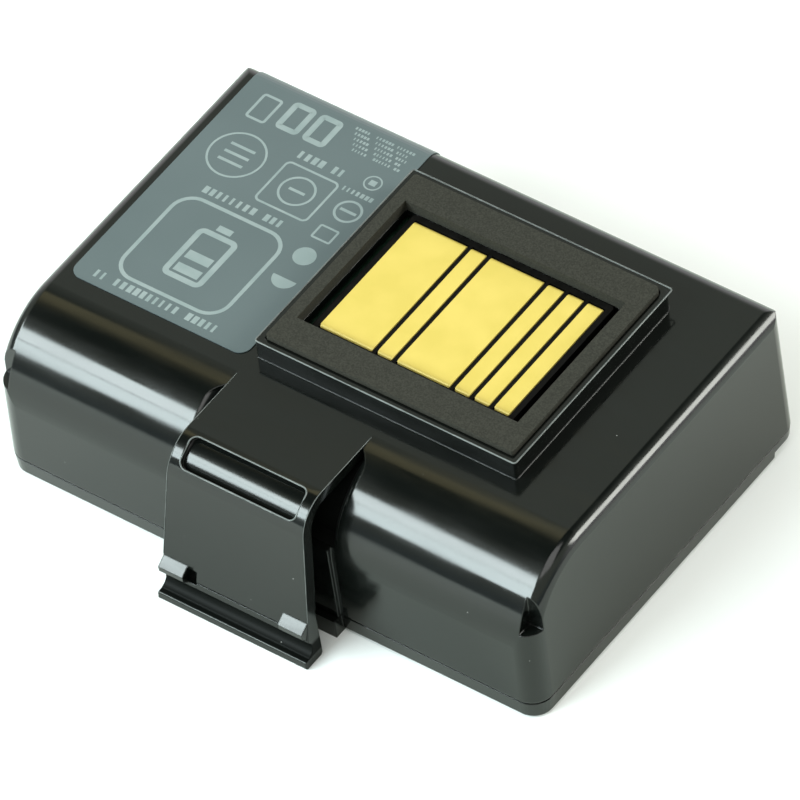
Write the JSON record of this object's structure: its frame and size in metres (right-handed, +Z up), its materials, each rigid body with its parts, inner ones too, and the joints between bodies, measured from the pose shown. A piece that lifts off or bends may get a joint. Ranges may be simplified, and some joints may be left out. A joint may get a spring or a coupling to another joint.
{
  "type": "mobile printer battery",
  "caption": "Rechargeable battery pack for a mobile printer: rounded black case with spring latch, raised contact block with foam seal and gilt plates, and a label.",
  "frame": {"origin": "middle of the whole pack's footprint, latch included, on the surface that it rests on", "axes": "+X along the pack towards the contact block's end, +Y from the latch to the back wall, +Z up through the contact plates"},
  "size_m": [0.075, 0.0586, 0.0257],
  "materials": {
    "case_plastic": "glossy moulded black, faint scratches",
    "cover_plastic": "glossy moulded black",
    "carrier_plastic": "matt black moulded frame",
    "gilt_plating": "satin gilt plating",
    "gasket_foam": "open grey foam",
    "label_film": "satin grey film",
    "cell_sleeve": "shrunk blue sleeve",
    "fibre_ring": "pressed fibre",
    "nickel_strip": "satin nickel",
    "wire_insulation": "red insulation",
    "board_laminate": "green solder mask",
    "chip_resin": "matt black moulding resin",
    "shunt_resin": "matt dark grey",
    "fuse_coating": "matt green",
    "resistor_ceramic": "small ceramic bodies",
    "pad_foam": "dark foam"
  },
  "bodies": {
    "root": {"upper_housing": "case_plastic", "lower_cover": "cover_plastic", "contact_carrier": "carrier_plastic", "contact_plate_1": "gilt_plating", "contact_plate_2": "gilt_plating", "contact_plate_3": "gilt_plating", "contact_plate_4": "gilt_plating", "contact_plate_5": "gilt_plating", "contact_plate_6": "gilt_plating", "foam_gasket": "gasket_foam", "rating_label": "label_film", "front_cell": "cell_sleeve", "rear_cell": "cell_sleeve", "front_cell_ring": "fibre_ring", "rear_cell_ring": "fibre_ring", "series_link": "nickel_strip", "negative_strip": "nickel_strip", "positive_strip": "nickel_strip", "sense_wire": "wire_insulation", "protection_board": "board_laminate", "protection_chip": "chip_resin", "charge_switch": "chip_resin", "discharge_switch": "chip_resin", "current_shunt": "shunt_resin", "resettable_fuse": "fuse_coating", "thermistor": "chip_resin", "chip_resistors": "resistor_ceramic", "board_pad_front": "pad_foam", "board_pad_rear": "pad_foam", "end_pad_left": "pad_foam", "end_pad_right": "pad_foam"}
  },
  "joints": []
}
